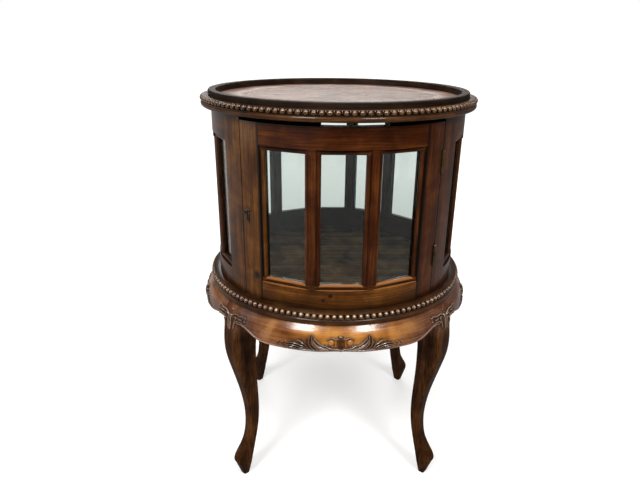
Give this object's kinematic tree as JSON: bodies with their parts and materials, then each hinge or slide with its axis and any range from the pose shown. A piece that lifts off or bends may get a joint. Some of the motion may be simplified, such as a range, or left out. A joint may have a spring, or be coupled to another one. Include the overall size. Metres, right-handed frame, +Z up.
{
  "type": "display table",
  "caption": "Round glazed display table with a bowed door, rimmed top, beaded mouldings, carved aprons and cabriole legs.",
  "frame": {"origin": "centre of the footprint on the floor", "axes": "+Z up, the door faces -Y, +X to the viewer's right"},
  "size_m": [0.5364, 0.5362, 0.76],
  "materials": {
    "polished_mahogany": "polished, glossy reddish brown",
    "clear_glass": "clear",
    "aged_brass": "aged",
    "lock_steel": "dull"
  },
  "bodies": {
    "cabinet": {"apron_back": "polished_mahogany", "apron_front": "polished_mahogany", "apron_left": "polished_mahogany", "apron_right": "polished_mahogany", "back_bottom_rail": "polished_mahogany", "back_glazing_beads": "polished_mahogany", "back_muntins": "polished_mahogany", "back_panes": "clear_glass", "back_post_left": "polished_mahogany", "back_post_right": "polished_mahogany", "back_top_rail": "polished_mahogany", "base_moulding": "polished_mahogany", "cabinet_floor": "polished_mahogany", "front_post_left": "polished_mahogany", "front_post_right": "polished_mahogany", "gallery_rim": "polished_mahogany", "glue_blocks": "polished_mahogany", "leg_back_left": "polished_mahogany", "leg_back_right": "polished_mahogany", "leg_front_left": "polished_mahogany", "leg_front_right": "polished_mahogany", "leg_screws": "lock_steel", "lower_hinge_pin": "aged_brass", "lower_hinge_post_leaf": "aged_brass", "post_screws": "aged_brass", "side_bottom_rail_left": "polished_mahogany", "side_bottom_rail_right": "polished_mahogany", "side_glazing_beads_left": "polished_mahogany", "side_glazing_beads_right": "polished_mahogany", "side_mullions_left": "polished_mahogany", "side_mullions_right": "polished_mahogany", "side_panes_left": "clear_glass", "side_panes_right": "clear_glass", "side_top_rail_left": "polished_mahogany", "side_top_rail_right": "polished_mahogany", "strike_plate": "aged_brass", "top_board": "polished_mahogany", "top_moulding": "polished_mahogany", "upper_hinge_pin": "aged_brass", "upper_hinge_post_leaf": "aged_brass"},
    "door": {"door_bottom_rail": "polished_mahogany", "door_glazing_beads": "polished_mahogany", "door_hinge_stile": "polished_mahogany", "door_lock_stile": "polished_mahogany", "door_muntins": "polished_mahogany", "door_panes": "clear_glass", "door_screws": "aged_brass", "door_top_rail": "polished_mahogany", "keyhole_escutcheon": "aged_brass", "lock_case": "lock_steel", "lower_hinge_door_leaf": "aged_brass", "upper_hinge_door_leaf": "aged_brass"},
    "key": {"lock_key": "aged_brass"},
    "bolt": {"lock_bolt": "lock_steel"}
  },
  "joints": [
    {"name": "door_hinge", "type": "hinge", "parent": "cabinet", "child": "door", "pos_m": [0.16881, -0.16763, 0.573], "axis": [0, 0, 1], "range_deg": [0, 120]},
    {"name": "key_turn", "type": "hinge", "parent": "door", "child": "key", "pos_m": [-0.15744, -0.17581, 0.573], "axis": [-0.6671, -0.745, 0], "range_deg": [0, 180]},
    {"name": "bolt_slide", "type": "slide", "parent": "door", "child": "bolt", "axis": [-0.745, 0.6671, 0], "range_m": [0, 0.007]}
  ],
  "couplings": [
    {"joint": "key_turn", "follows": "bolt_slide", "rad_per_m": 448.8}
  ]
}
